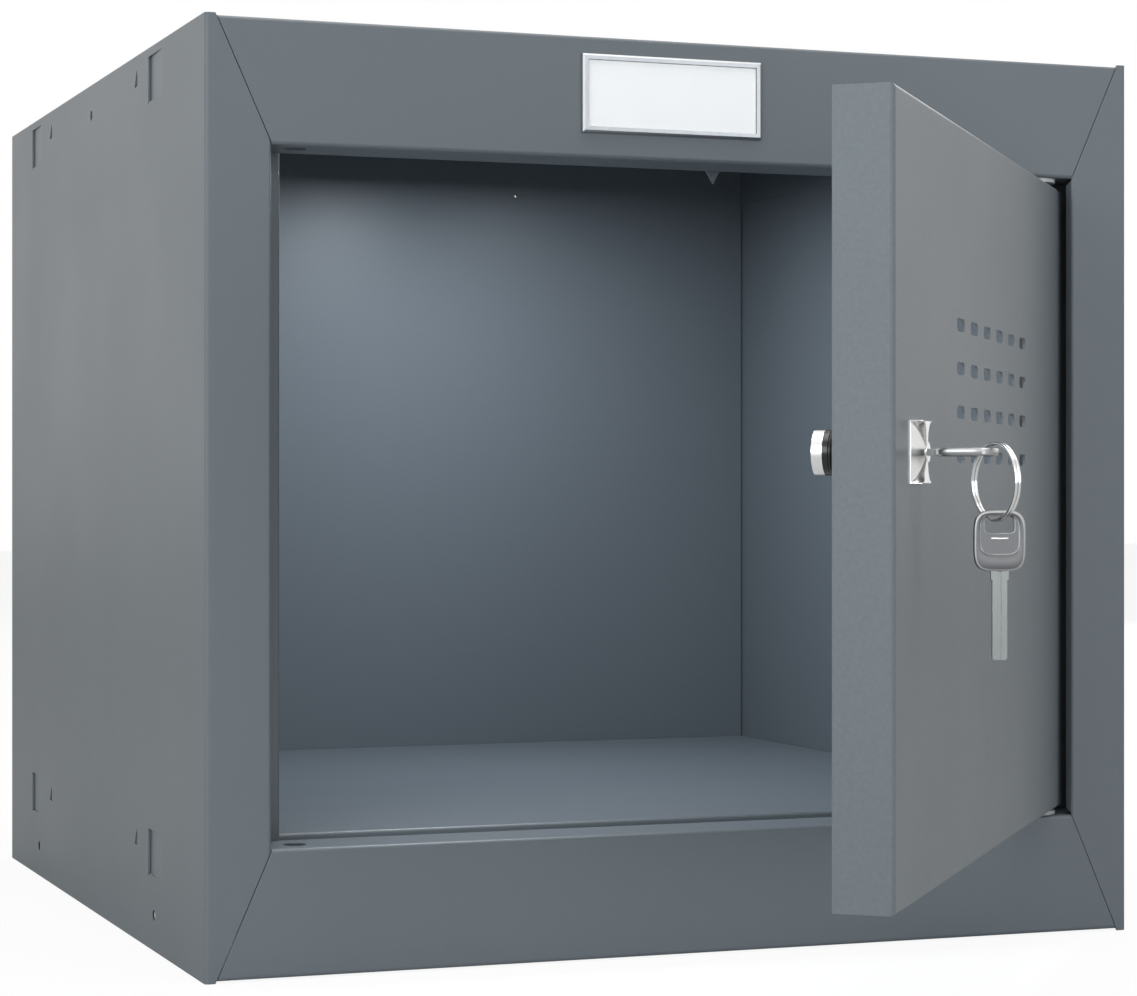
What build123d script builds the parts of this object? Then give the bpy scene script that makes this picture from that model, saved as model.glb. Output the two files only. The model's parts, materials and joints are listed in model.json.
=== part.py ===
"""A cube locker of folded sheet steel with a pivoting door, a cam lock and two keys on a split ring.

Millimetres, +Z up. The origin is the middle of the footprint on the resting plane, the front faces -Y and
the hinge side is +X. The door and all that it carries are drawn closed and then swung open to REST_ANGLE.
"""
import math
import os

from build123d import *

os.makedirs("parts", exist_ok=True)

# Cabinet
WIDTH = 400.0
DEPTH = 400.0
HEIGHT = 366.0
SHEET = 1.0
BEND_INSIDE = 0.5
BEND_OUTSIDE = BEND_INSIDE + SHEET

# Front frame: the opening, and the mitred joints between stiles and rails
STILE = 26.0
BASE_RAIL_HEIGHT = 49.7
TOP_RAIL_HEIGHT = 48.7
RAIL_REVEAL = 0.8
RAIL_DEPTH = 28.5
RAIL_REAR_RETURN = 36.0
JAMB_DEPTH = 4.8
JAMB_RELIEF = 3.0
MITRE_START = 4.4
MITRE_GAP = 0.35

# Trays that make the floor and the roof
FLOOR_STEP = 2.3
TRAY_FLANGE = 22.0
BACK_INSET = 18.0
FOOT_FLANGE = 15.0
FOOT_HOLE = 7.0
FOOT_HOLE_INSET = 50.0

# Pressed tabs, barbs and joining holes of the side and back panels
TAB_HEIGHT = 18.5
TAB_LENGTH = 25.0
TAB_PRESSED = 1.15
TAB_INSET = (94.3, 54.9)
HINGE_SIDE_TAB_INSET = (94.3, 87.0)
TAB_CLEARANCE = 0.3
TAB_RELIEF = 1.2
BARB_WIDTH = 7.6
BARB_HEIGHT = 7.0
BARB_RISE = 9.2
BARB_PRESSED = 0.85
BARB_FROM_TAB = (21.4, -47.6)
JOINING_HOLE = 4.5
JOINING_BREAK = 0.65
JOINING_Z = 14.4
JOINING_INSET = (84.5, 72.1)
UPPER_JOINING_DROP = 13.5
BACK_TAB_X = 66.0
BACK_TAB_LENGTH = 9.0
BACK_TAB_PRESSED = 0.65
BACK_TAB_BELOW = 0.5
RAIL_TAB_X = 21.4
RAIL_TAB = (5.9, 5.2)

# Strips behind the stiles: the lock cam hooks behind one of them
STOP_SETBACK = 26.5
STOP_REACH = 36.5
STOP_FLANGE = 12.0
HEM_WIDTH = 6.0

# Door pivots
PIVOT_FROM_SIDE = 38.7
PIVOT_FROM_FRONT = 13.0
PIVOT_HOLE = 9.0
BUSH_SLIP = 0.05
BUSH_FLANGE = 21.0
BUSH_FLANGE_THICK = 1.5
BUSH_BEHIND = 3.0
PIN = 6.0
PIN_RUNNING = 0.05
PIN_HEAD = 10.0
PIN_HEAD_THICK = 1.6

# Door
DOOR_GAP_LOCK_SIDE = 2.4
DOOR_GAP_HINGE_SIDE = 3.0
DOOR_GAP_BELOW = 2.8
DOOR_GAP_ABOVE = 4.0
DOOR_SETBACK = 1.0
DOOR_DEPTH = 20.0
DOOR_LIP = 10.0
DOOR_BEND = 1.6
REST_ANGLE = 50.3
VENT_LENGTH = 14.3
VENT_HEIGHT = 4.5
VENT_COLUMNS = 6
VENT_ROWS = 4
VENT_PITCH_X = 26.0
VENT_PITCH_Z = 15.2
VENT_FROM_LOCK_EDGE = 111.65
LOWEST_VENT_DROP = 115.5

# Lock
LOCK_U = 32.0
LOCK_DROP = 115.3
BEZEL = 20.4
BEZEL_THICK = 4.6
BEZEL_RIM = 0.5
BEZEL_STAR = 6.3
BARREL = 15.0
BARREL_LENGTH = 29.0
PLUG = 11.0
PLUG_RUNNING = 0.05
PLUG_PROUD = 0.2
NUT_ACROSS = 19.0
NUT_THICK = 4.0
CAM_THICK = 2.2
CAM_LENGTH = 32.0
CAM_CRANK = 3.6
CAM_WIDTH = 15.2
CAM_SQUARE = 7.0
BOSS_THICK = 3.6
BOSS_SINK = 2.0
TENON = 1.5
SCREW = 4.0
SCREW_HEAD = 9.0
SCREW_HEAD_THICK = 1.9
SCREW_LENGTH = 8.0
HOLE_SLIP = 0.05
HEAD_SLIP = 0.3

# Keys, measured from the tip
BLADE_LENGTH = 25.5
BLADE_WIDTH = 4.7
BLADE_THICK = 2.0
BLADE_CORNER = 0.5
KEY_GROOVE = (0.9, 0.35)
SHOULDER_LENGTH = 2.6
SHOULDER_WIDTH = 5.6
SHOULDER_SUNK = 0.5
BOW_LENGTH = 19.4
BOW_WIDTH = 16.4
BOW_THICK = 2.6
BOW_CORNER = 4.6
BOW_SPREAD = 4.0
BOW_RIM = 1.6
BOW_RECESS = 0.5
RING_SLOT = (9.2, 5.4)
RING_SLOT_EDGE = 1.7
RING_SLOT_CORNER = 1.2
KEYWAY_CLEARANCE = 0.1
KEY_LENGTH = BLADE_LENGTH + SHOULDER_LENGTH + BOW_LENGTH

# Split ring of two turns, hung through the bow of the key in the lock
RING_RADIUS = 12.25
RING_WIRE = 1.05
RING_PITCH = 1.15
RING_CROSSOVER = 9.0
RING_CROSSOVER_AT = 258.0
RING_U = 28.5
RING_OUT = 26.6
RING_DROP = 9.55
RING_HEADING = 136.0
SPARE_ALONG_RING = 2.0
SPARE_HEADING = 81.4
SPARE_DROP = 0.75

# Badge: a plain frame round a blank panel
BADGE_X = -9.1
BADGE_DROP = 23.3
BADGE = (77.4, 31.0)
BADGE_THICK = 2.2
BADGE_BORDER = 2.3
BADGE_PANEL_THICK = 1.3
BADGE_SLIP = 0.1

# Places that follow from the sizes
INNER_HALF = WIDTH / 2 - SHEET
FRONT = -DEPTH / 2
REAR = DEPTH / 2
BACK_FACE = REAR - BACK_INSET
RAIL_REAR = FRONT + RAIL_DEPTH
OPENING_HALF = WIDTH / 2 - STILE
OPENING_BOTTOM = BASE_RAIL_HEIGHT
OPENING_TOP = HEIGHT - TOP_RAIL_HEIGHT
FLOOR_TOP = OPENING_BOTTOM + FLOOR_STEP
TRAY_TOPS = (FLOOR_TOP, HEIGHT)
LOCK_SIDE_TABS = (FRONT + TAB_INSET[0], REAR - TAB_INSET[1])
HINGE_SIDE_TABS = (FRONT + HINGE_SIDE_TAB_INSET[0], REAR - HINGE_SIDE_TAB_INSET[1])
JOINING_Y = (FRONT + JOINING_INSET[0], REAR - JOINING_INSET[1])
STOP_Y = FRONT + STOP_SETBACK
PIVOT_X = WIDTH / 2 - PIVOT_FROM_SIDE
PIVOT_Y = FRONT + PIVOT_FROM_FRONT
DOOR_LEFT = -OPENING_HALF + DOOR_GAP_LOCK_SIDE
DOOR_RIGHT = OPENING_HALF - DOOR_GAP_HINGE_SIDE
DOOR_BOTTOM = OPENING_BOTTOM + DOOR_GAP_BELOW
DOOR_TOP = OPENING_TOP - DOOR_GAP_ABOVE
DOOR_FACE = FRONT + DOOR_SETBACK
LOCK_Z = DOOR_TOP - LOCK_DROP
SCREW_SEAT = -BARREL_LENGTH - HOLE_SLIP - BOSS_THICK + BOSS_SINK
KEY_TIP = BEZEL_THICK + PLUG_PROUD - SHOULDER_SUNK - BLADE_LENGTH


def block(low, high):
    """A box between two corners."""
    size = [top - bottom for bottom, top in zip(low, high)]
    return Pos(*low) * Box(*size, align=(Align.MIN, Align.MIN, Align.MIN))


def rod(radius, low, high):
    """A round bar along Z between two heights."""
    return Pos(0, 0, low) * Cylinder(radius, high - low, align=(Align.CENTER, Align.CENTER, Align.MIN))


def offset_line(points, distance):
    """The points of an open line moved sideways to its left, with mitred corners."""
    moved = []
    for index, (x, y) in enumerate(points):
        normals = []
        for start in (index - 1, index):
            if 0 <= start < len(points) - 1:
                (x0, y0), (x1, y1) = points[start], points[start + 1]
                length = math.hypot(x1 - x0, y1 - y0)
                normals.append(((y0 - y1) / length, (x1 - x0) / length))
        (ax, ay), (bx, by) = normals[0], normals[-1]
        scale = distance / (1 + ax * bx + ay * by)
        if len(normals) == 1:
            scale = distance / 2
        moved.append((x + (ax + bx) * scale, y + (ay + by) * scale))
    return moved


def folded(points):
    """Cross-section of a folded sheet: its outside follows the points and every bend turns left."""
    inside = offset_line(points, SHEET)
    section = make_face(Polyline(*points, *reversed(inside), close=True))
    for line, radius in ((points, BEND_OUTSIDE), (inside, BEND_INSIDE)):
        for x, y in line[1:-1]:
            corner = section.vertices().sort_by_distance(Vector(x, y, 0))[0]
            section = fillet(corner, radius)
    return section


def tray(width, length, flange, lips):
    """A shallow tray, open below, with its top at z = 0 and flanges on the named sides."""
    half = width / 2
    body = block((-half, 0, -flange), (half, length, 0))
    fold_edges = body.faces().sort_by(Axis.Z)[-1].edges()
    body = fillet(fold_edges, BEND_OUTSIDE)
    low_y = SHEET if "front" in lips else -SHEET
    high_y = length - SHEET if "rear" in lips else length + SHEET
    hollow = block((-half + SHEET, low_y, -flange - SHEET), (half - SHEET, high_y, -SHEET))
    hollow = fillet(hollow.faces().sort_by(Axis.Z)[-1].edges(), BEND_INSIDE)
    return body - hollow


def mirrored(shape):
    """The same shape on the other side of the middle plane."""
    return mirror(shape, Plane.YZ)


def mitre_wedge(height_of_edge, height_of_opening, gap):
    """What a mitre removes from the left-hand end of a front rail, or leaves to it: a prism in XZ."""
    outer_x = -WIDTH / 2 + MITRE_START + gap
    inner_x = -WIDTH / 2 + STILE + gap
    run = (inner_x - outer_x) / (height_of_opening - height_of_edge)
    beyond = 3.0 if height_of_edge > height_of_opening else -3.0
    top = (outer_x + run * beyond, height_of_edge + beyond)
    bottom = (inner_x - run * beyond, height_of_opening - beyond)
    return top, bottom


def face_prism(points):
    """A prism through the thickness of the front sheet, its outline given in X and Z."""
    outline = make_face(Polyline(*[(x, 0, z) for x, z in points], close=True))
    return Pos(0, FRONT - SHEET, 0) * extrude(outline, amount=2 * SHEET + 0.1, dir=(0, 1, 0))


def pressed_tab(edge_y, low):
    """The hole of one tab in the left side panel, and the tab that is pushed inwards at its rear edge."""
    wall = -WIDTH / 2
    start = edge_y - TAB_LENGTH
    window = block((wall - SHEET, start, low), (wall + 2 * SHEET, edge_y, low + TAB_HEIGHT))
    plan = make_face(Polyline((wall, start), (wall + SHEET, start), (wall + SHEET + TAB_PRESSED, edge_y),
                              (wall + TAB_PRESSED, edge_y), close=True))
    return window, Pos(0, 0, low) * extrude(plan, amount=TAB_HEIGHT)


def barb(centre_y, base_z):
    """A small triangular pocket, apex up, pressed deeper towards its rear edge."""
    half = BARB_WIDTH / 2
    outside = -WIDTH / 2 - SHEET
    outline = make_face(Polyline((centre_y - half, base_z), (centre_y + half, base_z),
                                 (centre_y, base_z + BARB_HEIGHT), close=True))
    prism = Pos(outside, 0, 0) * extrude(Plane.YZ * outline, amount=2.5 * SHEET)
    plan = make_face(Polyline((outside, centre_y - half), (-WIDTH / 2, centre_y - half),
                              (-WIDTH / 2 + BARB_PRESSED, centre_y + half), (outside, centre_y + half),
                              close=True))
    return prism & Pos(0, 0, base_z) * extrude(plan, amount=BARB_HEIGHT)


def flared_hole():
    """A lower joining hole drawn along +Z from the outer face of the sheet, broken out on the inner one."""
    radius = JOINING_HOLE / 2
    flare = Cone(radius, radius + JOINING_BREAK, JOINING_BREAK, align=(Align.CENTER, Align.CENTER, Align.MIN))
    return rod(radius, -SHEET, 2 * SHEET) + Pos(0, 0, SHEET - JOINING_BREAK) * flare


def left_side_panel(tab_edges):
    """Side wall, stile with jamb, and foot flange, folded from one sheet; its tabs end at the given edges."""
    half = WIDTH / 2
    section = folded([(-half, REAR), (-half, FRONT), (-half + STILE, FRONT),
                      (-half + STILE, FRONT + JAMB_DEPTH)])
    panel = extrude(section, amount=HEIGHT)
    beyond_x = -half + 2 * STILE
    for edge, opening, sign in ((HEIGHT - RAIL_REVEAL, OPENING_TOP, 1), (RAIL_REVEAL, OPENING_BOTTOM, -1)):
        top, bottom = mitre_wedge(edge, opening, 0)
        end = HEIGHT + SHEET if sign > 0 else -SHEET
        panel -= face_prism([top, bottom, (beyond_x, bottom[1]), (beyond_x, end), (top[0], end)])
        relief = opening - sign * JAMB_RELIEF
        jamb_x = (-half + STILE - BEND_OUTSIDE - SHEET, -half + STILE + SHEET)
        slope = make_face(Polyline((FRONT + SHEET, opening - sign * SHEET), (FRONT + JAMB_DEPTH + 1, relief),
                                   (FRONT + JAMB_DEPTH + 1, end), (FRONT + SHEET, end), close=True))
        panel -= Pos(jamb_x[0], 0, 0) * extrude(Plane.YZ * slope, amount=jamb_x[1] - jamb_x[0])
    foot = block((-half, RAIL_REAR + 2, 0), (-half + FOOT_FLANGE, BACK_FACE - 1, SHEET))
    panel += foot
    for y in (FRONT + FOOT_HOLE_INSET, REAR - FOOT_HOLE_INSET):
        panel -= Pos(-half + FOOT_FLANGE / 2, y, 0) * rod(FOOT_HOLE / 2, -SHEET, 2 * SHEET)
    for top in TRAY_TOPS:
        low = top - TRAY_FLANGE
        for edge_y, step in zip(tab_edges, BARB_FROM_TAB):
            window, tab = pressed_tab(edge_y, low)
            panel = panel - window + tab - barb(edge_y + step, low + BARB_RISE)
            relief = Rot(0, 90, 0) * rod(TAB_RELIEF / 2, -SHEET, 2 * SHEET)
            panel -= Pos(-half, edge_y, low - TAB_RELIEF / 3) * relief
    upper = rod(JOINING_HOLE / 2, -SHEET, 2 * SHEET)
    panel -= Pos(-half, sum(JOINING_Y) / 2, HEIGHT - UPPER_JOINING_DROP) * Rot(0, 90, 0) * upper
    for y in JOINING_Y:
        panel -= Pos(-half, y, JOINING_Z) * Rot(0, 90, 0) * flared_hole()
    return panel


def rail(edge, opening):
    """A front rail: mitred face, outer return, inner flange with the pivot holes, rear return."""
    sign = 1 if edge > opening else -1
    line = [(RAIL_REAR - 0.5, edge), (FRONT, edge), (FRONT, opening), (RAIL_REAR, opening),
            (RAIL_REAR, opening + sign * RAIL_REAR_RETURN)]
    if sign < 0:
        line.reverse()
    length = 2 * INNER_HALF
    body = Pos(-INNER_HALF, 0, 0) * extrude(Plane.YZ * folded(line), amount=length)
    top, bottom = mitre_wedge(edge, opening, MITRE_GAP)
    far = -WIDTH / 2 - SHEET
    ends = face_prism([top, bottom, (far, bottom[1]), (far, top[1])])
    low_z, high_z = sorted((edge, opening))
    ends += block((far, FRONT - SHEET, low_z - SHEET),
                  (-INNER_HALF + BEND_OUTSIDE, FRONT + 2 * SHEET, high_z + SHEET))
    body -= ends
    body -= mirrored(ends)
    for x in (-PIVOT_X, PIVOT_X):
        body -= Pos(x, PIVOT_Y, opening) * rod(PIVOT_HOLE / 2, -2 * SHEET, 2 * SHEET)
    return body


def rail_tab():
    """A small pointed tab that hangs from the rear edge of the top rail."""
    half, drop = RAIL_TAB[0] / 2, RAIL_TAB[1]
    points = ((-half, BEND_OUTSIDE), (half, BEND_OUTSIDE), (half, 0), (0, -drop), (-half, 0))
    outline = make_face(Polyline(*[(x, 0, z) for x, z in points], close=True))
    return Pos(RAIL_TAB_X, RAIL_REAR - SHEET, OPENING_TOP) * extrude(outline, amount=SHEET, dir=(0, 1, 0))


def storage_tray(top):
    """Floor and roof are the same tray; its side flanges carry a joining hole and make room for the tabs."""
    body = tray(2 * INNER_HALF, BACK_FACE - RAIL_REAR, TRAY_FLANGE, ("front",))
    body = Pos(0, RAIL_REAR, top) * body
    middle_y = sum(JOINING_Y) / 2
    for x in (-INNER_HALF, INNER_HALF):
        hole = Rot(0, 90, 0) * rod(JOINING_HOLE / 2, -2 * SHEET, 2 * SHEET)
        body -= Pos(x, middle_y, top - UPPER_JOINING_DROP) * hole
    low = top - TRAY_FLANGE
    for wall, tab_edges in ((-INNER_HALF, LOCK_SIDE_TABS), (INNER_HALF, HINGE_SIDE_TABS)):
        for edge_y in tab_edges:
            body -= block((wall - 2 * SHEET, edge_y - TAB_LENGTH - TAB_CLEARANCE, low - SHEET),
                          (wall + 2 * SHEET, edge_y + TAB_CLEARANCE, low + TAB_HEIGHT + TAB_CLEARANCE))
    return body


def back_panel():
    """Inset back with flanges to the rear and four tabs pushed rearwards at their inner edges."""
    body = Rot(90, 0, 0) * tray(2 * INNER_HALF, HEIGHT, BACK_INSET, ("front", "rear"))
    body = Pos(0, BACK_FACE, 0) * body
    near, far = BACK_TAB_X, BACK_TAB_X + BACK_TAB_LENGTH
    pressed = BACK_FACE + BACK_TAB_PRESSED
    plan = make_face(Polyline((far, BACK_FACE), (far, BACK_FACE + SHEET), (near, pressed + SHEET),
                              (near, pressed), close=True))
    for top in TRAY_TOPS:
        low = top - TRAY_FLANGE - BACK_TAB_BELOW
        height = TAB_HEIGHT + BACK_TAB_BELOW
        window = block((near, BACK_FACE - SHEET, low), (far, BACK_FACE + 2 * SHEET, low + height))
        tab = Pos(0, 0, low) * extrude(plan, amount=height)
        relief = Pos(near, BACK_FACE, low) * Rot(-90, 0, 0) * rod(TAB_RELIEF / 2, -SHEET, 2 * SHEET)
        body = body - window - mirrored(window) + tab + mirrored(tab) - relief - mirrored(relief)
    return body


def stop_strip():
    """The strip behind the left stile: weld flange, strip and a hemmed inner edge."""
    nose_x = -WIDTH / 2 + STOP_REACH
    section = folded([(-INNER_HALF, STOP_Y - STOP_FLANGE), (-INNER_HALF, STOP_Y + SHEET),
                      (nose_x - 1, STOP_Y + SHEET)][::-1])
    hem = Pos(nose_x - HEM_WIDTH / 2, STOP_Y + SHEET) * RectangleRounded(HEM_WIDTH, 2 * SHEET, 0.9 * SHEET)
    shape = extrude(section + hem, amount=OPENING_TOP - OPENING_BOTTOM)
    return Pos(0, 0, OPENING_BOTTOM) * shape


def pivot_bush(opening, sign):
    """A flanged bush: its flange lies on the rail flange inside the opening, its body goes through the hole."""
    body = Cylinder(BUSH_FLANGE / 2, BUSH_FLANGE_THICK, align=(Align.CENTER, Align.CENTER, Align.MIN))
    body += rod(PIVOT_HOLE / 2 - BUSH_SLIP, -SHEET - BUSH_BEHIND, 0)
    body -= rod(PIN / 2 + PIN_RUNNING, -2 * BUSH_BEHIND, 2 * BUSH_FLANGE_THICK)
    if sign > 0:
        body = Rot(180, 0, 0) * body
    return Pos(PIVOT_X, PIVOT_Y, opening) * body


def pivot_pin(door_edge, opening, sign):
    """A headed pin through the door's flange and the bush."""
    inside = door_edge - sign * SHEET
    tip = opening + sign * (SHEET + BUSH_BEHIND)
    head = inside - sign * PIN_HEAD_THICK
    shank = rod(PIN / 2, *sorted((inside, tip)))
    shank = chamfer(shank.edges().filter_by(GeomType.CIRCLE).sort_by_distance(Vector(0, 0, tip))[0], 0.6)
    return Pos(PIVOT_X, PIVOT_Y, 0) * (shank + rod(PIN_HEAD / 2, *sorted((inside, head))))


def door_tray():
    """The door: a tray with inward lips, vents, pivot holes and the lock hole."""
    low, high = (DOOR_LEFT, DOOR_FACE, DOOR_BOTTOM), (DOOR_RIGHT, DOOR_FACE + DOOR_DEPTH, DOOR_TOP)
    body = block(low, high)
    body = fillet(body.faces().sort_by(Axis.Y)[0].edges(), DOOR_BEND)
    hollow = block((DOOR_LEFT + SHEET, DOOR_FACE + SHEET, DOOR_BOTTOM + SHEET),
                   (DOOR_RIGHT - SHEET, DOOR_FACE + DOOR_DEPTH + SHEET, DOOR_TOP - SHEET))
    hollow = fillet(hollow.faces().sort_by(Axis.Y)[0].edges(), DOOR_BEND - SHEET)
    body -= hollow
    lip_y = (DOOR_FACE + DOOR_DEPTH - SHEET, DOOR_FACE + DOOR_DEPTH)
    for x0, x1 in ((DOOR_LEFT, DOOR_LEFT + DOOR_LIP), (DOOR_RIGHT - DOOR_LIP, DOOR_RIGHT)):
        body += block((x0, lip_y[0], DOOR_BOTTOM), (x1, lip_y[1], DOOR_TOP))
    for column in range(VENT_COLUMNS):
        for row in range(VENT_ROWS):
            x = DOOR_LEFT + VENT_FROM_LOCK_EDGE + column * VENT_PITCH_X
            z = DOOR_TOP - LOWEST_VENT_DROP + row * VENT_PITCH_Z
            vent = extrude(Plane.XZ * SlotOverall(VENT_LENGTH, VENT_HEIGHT), amount=2 * SHEET, both=True)
            body -= Pos(x, DOOR_FACE, z) * vent
    for z in (DOOR_BOTTOM, DOOR_TOP):
        body -= Pos(PIVOT_X, PIVOT_Y, z) * rod(PIN / 2, -2 * SHEET, 2 * SHEET)
    body -= on_lock_axis(rod(BARREL / 2, -2 * SHEET, 2 * SHEET))
    return body


def on_lock_axis(shape):
    """Place a shape drawn about Z so that +Z points out of the door on the lock's axis."""
    return Pos(DOOR_LEFT + LOCK_U, DOOR_FACE, LOCK_Z) * Rot(90, 0, 0) * shape


def lock_bezel():
    """Square base with a pyramid cut out of each side, so that its front is a star with four sharp corners."""
    body = extrude(Rectangle(BEZEL, BEZEL), amount=BEZEL_THICK)
    tall = BEZEL_THICK - BEZEL_RIM
    side_wall = Plane(origin=(0, BEZEL / 2, BEZEL_RIM + tall / 2), x_dir=(1, 0, 0), z_dir=(0, 1, 0))
    facet = loft([side_wall * Rectangle(BEZEL - 2 * BEZEL_RIM, tall), Vertex(0, BEZEL_STAR, BEZEL_THICK)])
    for angle in (0, 90, 180, 270):
        body -= Rot(0, 0, angle) * facet
    return on_lock_axis(body - rod(PLUG / 2 + PLUG_RUNNING, -1, BEZEL_THICK + 1))


def lock_barrel():
    """The round black housing behind the bezel."""
    body = rod(BARREL / 2 - HOLE_SLIP, -BARREL_LENGTH, 0)
    return on_lock_axis(body - rod(PLUG / 2 + PLUG_RUNNING, -BARREL_LENGTH - 1, 1))


def lock_nut():
    """The hexagonal nut that clamps the lock behind the door's sheet."""
    body = extrude(RegularPolygon(NUT_ACROSS / 2, 6, major_radius=False), amount=NUT_THICK)
    body = Pos(0, 0, -SHEET - NUT_THICK) * body
    return on_lock_axis(body - rod(BARREL / 2, -2 * NUT_THICK, 1))


def lock_plug():
    """The turning core: round, with the keyway in front and a square for the cam behind."""
    front = BEZEL_THICK + PLUG_PROUD
    body = rod(PLUG / 2, -BARREL_LENGTH, front)
    tenon = Box(CAM_SQUARE, CAM_SQUARE, TENON, align=(Align.CENTER, Align.CENTER, Align.MAX))
    body += Pos(0, 0, -BARREL_LENGTH) * tenon
    width = BLADE_WIDTH / 2 + KEYWAY_CLEARANCE
    thick = BLADE_THICK / 2 + KEYWAY_CLEARANCE
    mouth = SHOULDER_WIDTH / 2 + KEYWAY_CLEARANCE
    sunk = SHOULDER_SUNK + KEYWAY_CLEARANCE
    body -= block((-width, -thick, front - sunk - BLADE_LENGTH), (width, thick, front + 1))
    body -= block((-mouth, -thick, front - sunk), (mouth, thick, front + 1))
    body -= rod(SCREW / 2 + HOLE_SLIP, -BARREL_LENGTH - TENON - 1, SCREW_SEAT + SCREW_LENGTH + HOLE_SLIP)
    return on_lock_axis(body)


def lock_cam():
    """A cranked cam with a round boss; it points at the hinge side while the lock is open."""
    high = -BARREL_LENGTH - HOLE_SLIP
    boss = rod(CAM_WIDTH / 2, high - BOSS_THICK, high)
    crank_at = (CAM_WIDTH / 2 + 1, CAM_WIDTH / 2 + 1 + CAM_CRANK)
    line = [(0, high), (crank_at[0], high), (crank_at[1], high + CAM_CRANK), (CAM_LENGTH, high + CAM_CRANK)]
    lower = offset_line(line, -CAM_THICK)
    side = make_face(Polyline(*line, *reversed(lower), close=True))
    arm = extrude(Plane.XZ * side, amount=CAM_WIDTH / 2, both=True)
    plan = make_face(Polyline((0, -CAM_WIDTH / 2), (CAM_LENGTH, -CAM_WIDTH / 2 + 2.5),
                              (CAM_LENGTH, CAM_WIDTH / 2 - 2.5), (0, CAM_WIDTH / 2), close=True))
    plan = fillet(plan.vertices().sort_by(Axis.X)[-2:], 2.5)
    arm &= Pos(0, 0, high - CAM_THICK - 1) * extrude(plan, amount=CAM_CRANK + CAM_THICK + 2)
    body = boss + arm
    square = CAM_SQUARE + 2 * HOLE_SLIP
    body -= Pos(0, 0, high) * Box(square, square, 4 * CAM_THICK)
    body -= rod(SCREW_HEAD / 2 + HEAD_SLIP, high - BOSS_THICK - 1, high - BOSS_THICK + BOSS_SINK)
    return on_lock_axis(body)


def cam_screw():
    """Pan-head screw with a cross recess, sunk in the cam's boss, that holds the cam on the plug."""
    body = rod(SCREW / 2, SCREW_SEAT, SCREW_SEAT + SCREW_LENGTH)
    head = rod(SCREW_HEAD / 2, SCREW_SEAT - SCREW_HEAD_THICK, SCREW_SEAT)
    head = fillet(head.edges().filter_by(GeomType.CIRCLE).sort_by(Axis.Z)[0], 0.9)
    for angle in (0, 90):
        head -= Pos(0, 0, SCREW_SEAT - SCREW_HEAD_THICK) * Rot(0, 0, angle) * Box(5.0, 1.0, 2.0)
    return on_lock_axis(body + head)


def key_blank():
    """A flat key from its tip at the origin along +Y, its thickness centred on Z."""
    neck = BLADE_LENGTH + SHOULDER_LENGTH
    half = BOW_WIDTH / 2
    blade = block((-BLADE_WIDTH / 2, 0, -BLADE_THICK / 2), (BLADE_WIDTH / 2, neck, BLADE_THICK / 2))
    blade = chamfer(blade.edges().filter_by(Axis.Z).sort_by(Axis.Y)[:2], BLADE_CORNER)
    shoulder = block((-SHOULDER_WIDTH / 2, BLADE_LENGTH, -BLADE_THICK / 2),
                     (SHOULDER_WIDTH / 2, neck + 1, BLADE_THICK / 2))
    narrow = SHOULDER_WIDTH / 2
    bow = make_face(Polyline((-narrow, neck), (narrow, neck), (half, neck + BOW_SPREAD), (half, KEY_LENGTH),
                             (-half, KEY_LENGTH), (-half, neck + BOW_SPREAD), close=True))
    for x in (half, -half):
        for y in (neck + BOW_SPREAD, KEY_LENGTH):
            bow = fillet(bow.vertices().sort_by_distance(Vector(x, y, 0))[0], BOW_CORNER)
    plate = extrude(bow, amount=BOW_THICK / 2, both=True)
    panel = offset(bow, amount=-BOW_RIM)
    floor = BOW_THICK / 2 - BOW_RECESS
    for z in (floor, -floor - BOW_RECESS):
        plate -= Pos(0, 0, z) * extrude(panel, amount=BOW_RECESS)
    slot_y = KEY_LENGTH - RING_SLOT_EDGE - RING_SLOT[1] / 2
    slot = extrude(RectangleRounded(*RING_SLOT, RING_SLOT_CORNER), amount=BOW_THICK, both=True)
    key = blade + shoulder + plate - Pos(0, slot_y, 0) * slot
    groove = block((-KEY_GROOVE[0] / 2, -1, BLADE_THICK / 2 - KEY_GROOVE[1]),
                   (KEY_GROOVE[0] / 2, BLADE_LENGTH - 1, BLADE_THICK))
    return key - groove


def key_in_lock():
    """The key pushed home, its bow lying level."""
    return Pos(DOOR_LEFT + LOCK_U, DOOR_FACE - KEY_TIP, LOCK_Z) * Rot(180, 0, 0) * key_blank()


def heading(angle):
    """Unit vector in the closed door's plan: 0 points along the door to the hinge, 90 straight out of it."""
    return Vector(math.cos(math.radians(angle)), -math.sin(math.radians(angle)), 0)


def ring_centre():
    """Where the split ring hangs while the door is closed."""
    return Vector(DOOR_LEFT + RING_U, DOOR_FACE - RING_OUT, LOCK_Z - RING_DROP)


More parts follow.
